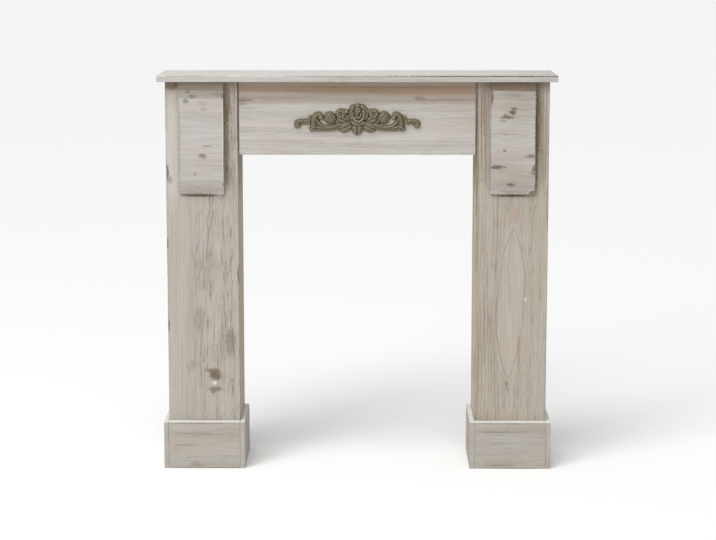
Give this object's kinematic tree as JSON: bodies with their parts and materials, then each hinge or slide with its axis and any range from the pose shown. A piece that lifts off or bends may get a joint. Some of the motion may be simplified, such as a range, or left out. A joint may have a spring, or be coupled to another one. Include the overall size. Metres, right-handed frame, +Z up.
{
  "type": "fireplace mantelpiece",
  "caption": "Free-standing whitewashed wooden fire surround: shelf on boxed pilasters with plinths, ogee corbels and a cast rose ornament on the frieze.",
  "frame": {"origin": "on the floor, in the middle of the shelf's outline", "axes": "+Z up, +Y toward the wall behind, +X to the right of someone facing the hearth"},
  "size_m": [1, 0.195, 1.008],
  "materials": {
    "shelf_wood": "matt whitewash rubbed into open-grained paulownia",
    "frieze_wood": "matt whitewash rubbed into open-grained paulownia",
    "pilaster_wood": "matt whitewash rubbed into open-grained paulownia",
    "plinth_wood": "matt whitewash rubbed into open-grained paulownia",
    "corbel_wood": "matt whitewash rubbed into open-grained paulownia, with knots and rubbed edges",
    "bronzed_resin": "cast resin in dull olive bronze, rubbed lighter on the high places"
  },
  "bodies": {
    "root": {"shelf": "shelf_wood", "frieze_board": "frieze_wood", "pilaster_front_left": "pilaster_wood", "pilaster_outer_side_left": "pilaster_wood", "pilaster_inner_side_left": "pilaster_wood", "plinth_front_left": "plinth_wood", "plinth_outer_side_left": "plinth_wood", "plinth_inner_side_left": "plinth_wood", "corbel_left": "corbel_wood", "pilaster_front_right": "pilaster_wood", "pilaster_outer_side_right": "pilaster_wood", "pilaster_inner_side_right": "pilaster_wood", "plinth_front_right": "plinth_wood", "plinth_outer_side_right": "plinth_wood", "plinth_inner_side_right": "plinth_wood", "corbel_right": "corbel_wood", "rose_swag": "bronzed_resin"}
  },
  "joints": []
}
